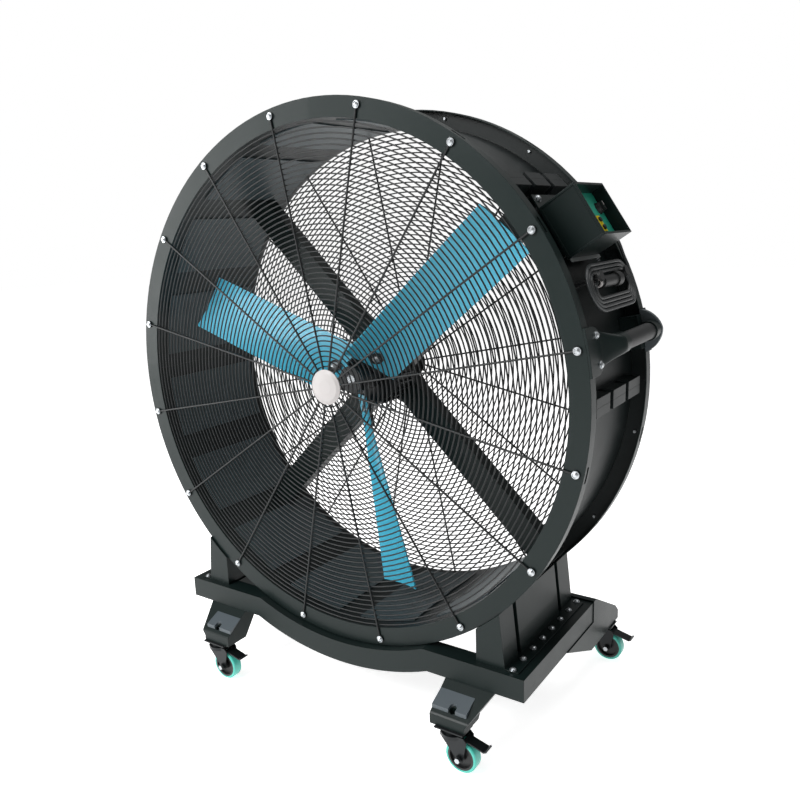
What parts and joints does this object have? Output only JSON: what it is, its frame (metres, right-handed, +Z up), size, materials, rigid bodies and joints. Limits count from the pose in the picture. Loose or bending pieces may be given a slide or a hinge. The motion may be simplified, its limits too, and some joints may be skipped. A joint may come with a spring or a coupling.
{
  "type": "mobile drum fan",
  "caption": "Large mobile drum fan with twisted blades behind a wire guard, a side control box with coiled cord, a push handle and a castered base.",
  "frame": {"origin": "on the floor, straight below the middle of the drum", "axes": "+Z up, +Y towards the back along the fan axis, +X to the right seen from the front"},
  "size_m": [1.639, 0.848, 1.8219],
  "materials": {
    "charcoal_powder_coat": "powder coat, slight texture",
    "charcoal_moulding": "moulded, fine grain",
    "black_wire": "dip-coated wire",
    "grey_cap": "moulded",
    "zinc_steel": "zinc plated",
    "black_steel": "black plated pressing",
    "blue_blade_paint": "semi-gloss paint",
    "black_motor_paint": "semi-matt paint",
    "turned_steel": "turned and ground",
    "stator_iron": "varnished laminations",
    "green_panel": "moulded",
    "black_plastic": "moulded",
    "yellow_plate": "moulded",
    "black_cord": "extruded jacket",
    "black_grip": "sleeved tube",
    "teal_tread": "moulded polyurethane"
  },
  "bodies": {
    "frame": {"base_front_bar": "charcoal_powder_coat", "base_rear_bar": "charcoal_powder_coat", "caster_plates": "black_steel", "control_box": "charcoal_powder_coat", "control_box_bracket": "charcoal_powder_coat", "control_panel": "green_panel", "cord_gland": "black_plastic", "cord_pegs": "black_plastic", "drum_panels": "charcoal_moulding", "frame_bolts": "zinc_steel", "front_grille": "black_wire", "front_left_boot": "charcoal_powder_coat", "front_right_boot": "charcoal_powder_coat", "front_ring": "charcoal_powder_coat", "grille_bolts": "zinc_steel", "grille_cap": "grey_cap", "handle_front_plate": "charcoal_powder_coat", "handle_grip": "black_grip", "handle_rear_plate": "charcoal_powder_coat", "key_plate": "yellow_plate", "left_pedestal": "charcoal_powder_coat", "left_rail": "charcoal_powder_coat", "mains_plug": "black_plastic", "motor_bearings": "turned_steel", "motor_housing": "black_motor_paint", "motor_plate": "charcoal_powder_coat", "motor_stator": "stator_iron", "power_cord": "black_cord", "rear_grille": "black_wire", "rear_left_boot": "charcoal_powder_coat", "rear_right_boot": "charcoal_powder_coat", "rear_ring": "charcoal_powder_coat", "right_pedestal": "charcoal_powder_coat", "right_rail": "charcoal_powder_coat", "support_cross": "charcoal_powder_coat"},
    "rotor": {"motor_shaft": "turned_steel", "rotor_hub": "black_motor_paint", "blade_1": "blue_blade_paint", "blade_2": "blue_blade_paint", "blade_3": "blue_blade_paint", "blade_bolts": "zinc_steel"},
    "knob": {"speed_knob": "black_plastic"},
    "start": {"start_button": "black_plastic"},
    "stop": {"stop_button": "black_plastic"},
    "front_left_swivel": {"front_left_fork": "black_steel"},
    "front_left_roll": {"front_left_wheel": "black_plastic", "front_left_tread": "teal_tread"},
    "front_left_brake": {"front_left_brake_pedal": "black_steel"},
    "front_right_swivel": {"front_right_fork": "black_steel"},
    "front_right_roll": {"front_right_wheel": "black_plastic", "front_right_tread": "teal_tread"},
    "front_right_brake": {"front_right_brake_pedal": "black_steel"},
    "rear_left_swivel": {"rear_left_fork": "black_steel"},
    "rear_left_roll": {"rear_left_wheel": "black_plastic", "rear_left_tread": "teal_tread"},
    "rear_left_brake": {"rear_left_brake_pedal": "black_steel"},
    "rear_right_swivel": {"rear_right_fork": "black_steel"},
    "rear_right_roll": {"rear_right_wheel": "black_plastic", "rear_right_tread": "teal_tread"},
    "rear_right_brake": {"rear_right_brake_pedal": "black_steel"}
  },
  "joints": [
    {"name": "rotor_spin", "type": "hinge", "parent": "frame", "child": "rotor", "pos_m": [0, 0, 1.022], "axis": [0, 1, 0], "continuous": true},
    {"name": "knob_turn", "type": "hinge", "parent": "frame", "child": "knob", "pos_m": [0.69778, 0.068, 1.49899], "axis": [0.8387, 0, 0.5446], "range_deg": [-270, 0]},
    {"name": "start_press", "type": "slide", "parent": "frame", "child": "start", "axis": [-0.8387, 0, -0.5446], "range_m": [0, 0.002], "stiffness_N_per_m": 400},
    {"name": "stop_press", "type": "slide", "parent": "frame", "child": "stop", "axis": [-0.8387, 0, -0.5446], "range_m": [0, 0.002], "stiffness_N_per_m": 400},
    {"name": "front_left_swivel_turn", "type": "hinge", "parent": "frame", "child": "front_left_swivel", "pos_m": [-0.456, -0.322, 0.11], "axis": [0, 0, 1], "continuous": true},
    {"name": "front_left_wheel_spin", "type": "hinge", "parent": "front_left_swivel", "child": "front_left_roll", "pos_m": [-0.426, -0.322, 0.048], "axis": [0, 1, 0], "continuous": true},
    {"name": "front_left_brake_tip", "type": "hinge", "parent": "front_left_swivel", "child": "front_left_brake", "pos_m": [-0.414, -0.322, 0.102], "axis": [0, 1, 0], "range_deg": [0, 10]},
    {"name": "front_right_swivel_turn", "type": "hinge", "parent": "frame", "child": "front_right_swivel", "pos_m": [0.456, -0.322, 0.11], "axis": [0, 0, 1], "continuous": true},
    {"name": "front_right_wheel_spin", "type": "hinge", "parent": "front_right_swivel", "child": "front_right_roll", "pos_m": [0.486, -0.322, 0.048], "axis": [0, 1, 0], "continuous": true},
    {"name": "front_right_brake_tip", "type": "hinge", "parent": "front_right_swivel", "child": "front_right_brake", "pos_m": [0.498, -0.322, 0.102], "axis": [0, 1, 0], "range_deg": [0, 10]},
    {"name": "rear_left_swivel_turn", "type": "hinge", "parent": "frame", "child": "rear_left_swivel", "pos_m": [-0.6, 0.435, 0.11], "axis": [0, 0, 1], "continuous": true},
    {"name": "rear_left_wheel_spin", "type": "hinge", "parent": "rear_left_swivel", "child": "rear_left_roll", "pos_m": [-0.57, 0.435, 0.048], "axis": [0, 1, 0], "continuous": true},
    {"name": "rear_left_brake_tip", "type": "hinge", "parent": "rear_left_swivel", "child": "rear_left_brake", "pos_m": [-0.558, 0.435, 0.102], "axis": [0, 1, 0], "range_deg": [0, 10]},
    {"name": "rear_right_swivel_turn", "type": "hinge", "parent": "frame", "child": "rear_right_swivel", "pos_m": [0.6, 0.435, 0.11], "axis": [0, 0, 1], "continuous": true},
    {"name": "rear_right_wheel_spin", "type": "hinge", "parent": "rear_right_swivel", "child": "rear_right_roll", "pos_m": [0.63, 0.435, 0.048], "axis": [0, 1, 0], "continuous": true},
    {"name": "rear_right_brake_tip", "type": "hinge", "parent": "rear_right_swivel", "child": "rear_right_brake", "pos_m": [0.642, 0.435, 0.102], "axis": [0, 1, 0], "range_deg": [0, 10]}
  ]
}
